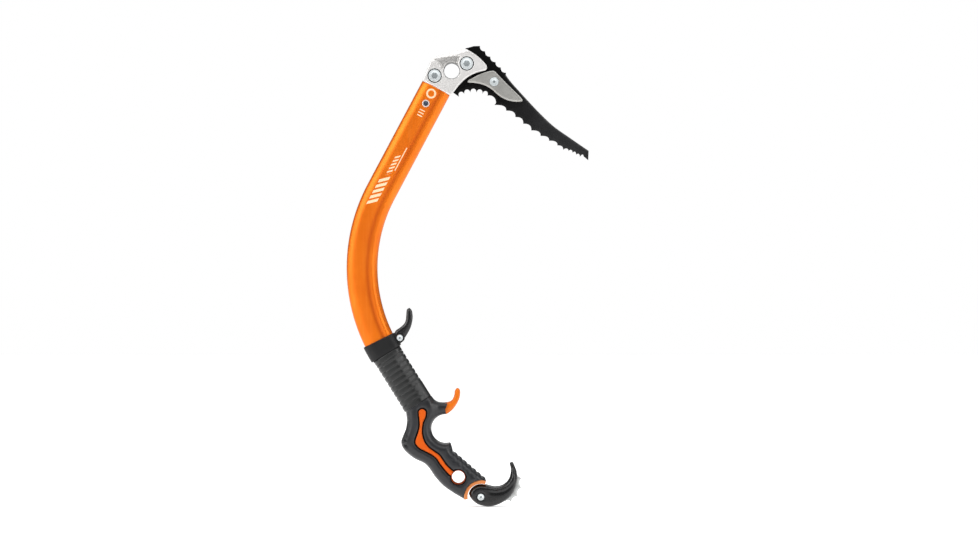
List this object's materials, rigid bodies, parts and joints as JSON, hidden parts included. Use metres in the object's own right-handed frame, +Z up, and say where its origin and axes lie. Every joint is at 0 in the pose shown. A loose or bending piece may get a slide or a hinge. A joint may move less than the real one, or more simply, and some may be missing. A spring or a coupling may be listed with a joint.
{
  "type": "ice axe",
  "caption": "Technical ice axe: bolted toothed pick with weights, forged head with an eye, bowed tube shaft, ribbed grip, sliding finger rest and pivoting hand rest with a spike plate.",
  "frame": {"origin": "centre of the eye through the head, half-way through its thickness", "axes": "+Z up the tool as it is held, along its longest extent; +X towards the tip of the pick; +Y along the eye, away from the side that carries the bolt heads"},
  "size_m": [0.2624, 0.027, 0.4992],
  "materials": {
    "forged_aluminium": "satin",
    "orange_aluminium": "satin anodised",
    "dark_aluminium": "satin anodised",
    "black_steel": "black oxide",
    "grey_steel": "brushed",
    "bright_steel": "satin",
    "grip_rubber": "matte",
    "black_plastic": "matte",
    "orange_plastic": "satin"
  },
  "bodies": {
    "axe": {"head": "forged_aluminium", "pick": "black_steel", "front_pick_bolt": "bright_steel", "rear_pick_bolt": "bright_steel", "front_pick_nut": "bright_steel", "rear_pick_nut": "bright_steel", "left_pick_weight": "grey_steel", "right_pick_weight": "grey_steel", "weight_screw": "bright_steel", "weight_nut": "bright_steel", "shaft_tube": "orange_aluminium", "head_rivet": "dark_aluminium", "grip_sleeve": "grip_rubber", "handle_pin": "bright_steel", "handle_core": "orange_plastic", "handle_overmould": "grip_rubber", "rest_shim": "orange_plastic"},
    "hand_rest": {"hand_rest": "black_plastic", "spike_plate": "grey_steel", "rest_screw": "bright_steel", "rest_nut": "bright_steel"},
    "finger_rest": {"finger_strap": "black_plastic", "finger_hook": "black_plastic", "finger_screw": "bright_steel", "finger_nut": "bright_steel"}
  },
  "joints": [
    {"name": "hand_rest_tilt", "type": "hinge", "parent": "axe", "child": "hand_rest", "pos_m": [0.0316, 0, -0.4613], "axis": [0, 1, 0], "range_deg": [-4, 12]},
    {"name": "finger_rest_slide", "type": "hinge", "parent": "axe", "child": "finger_rest", "pos_m": [0.07878, 0, -0.21336], "axis": [0, 1, 0], "range_deg": [0, 8]}
  ]
}
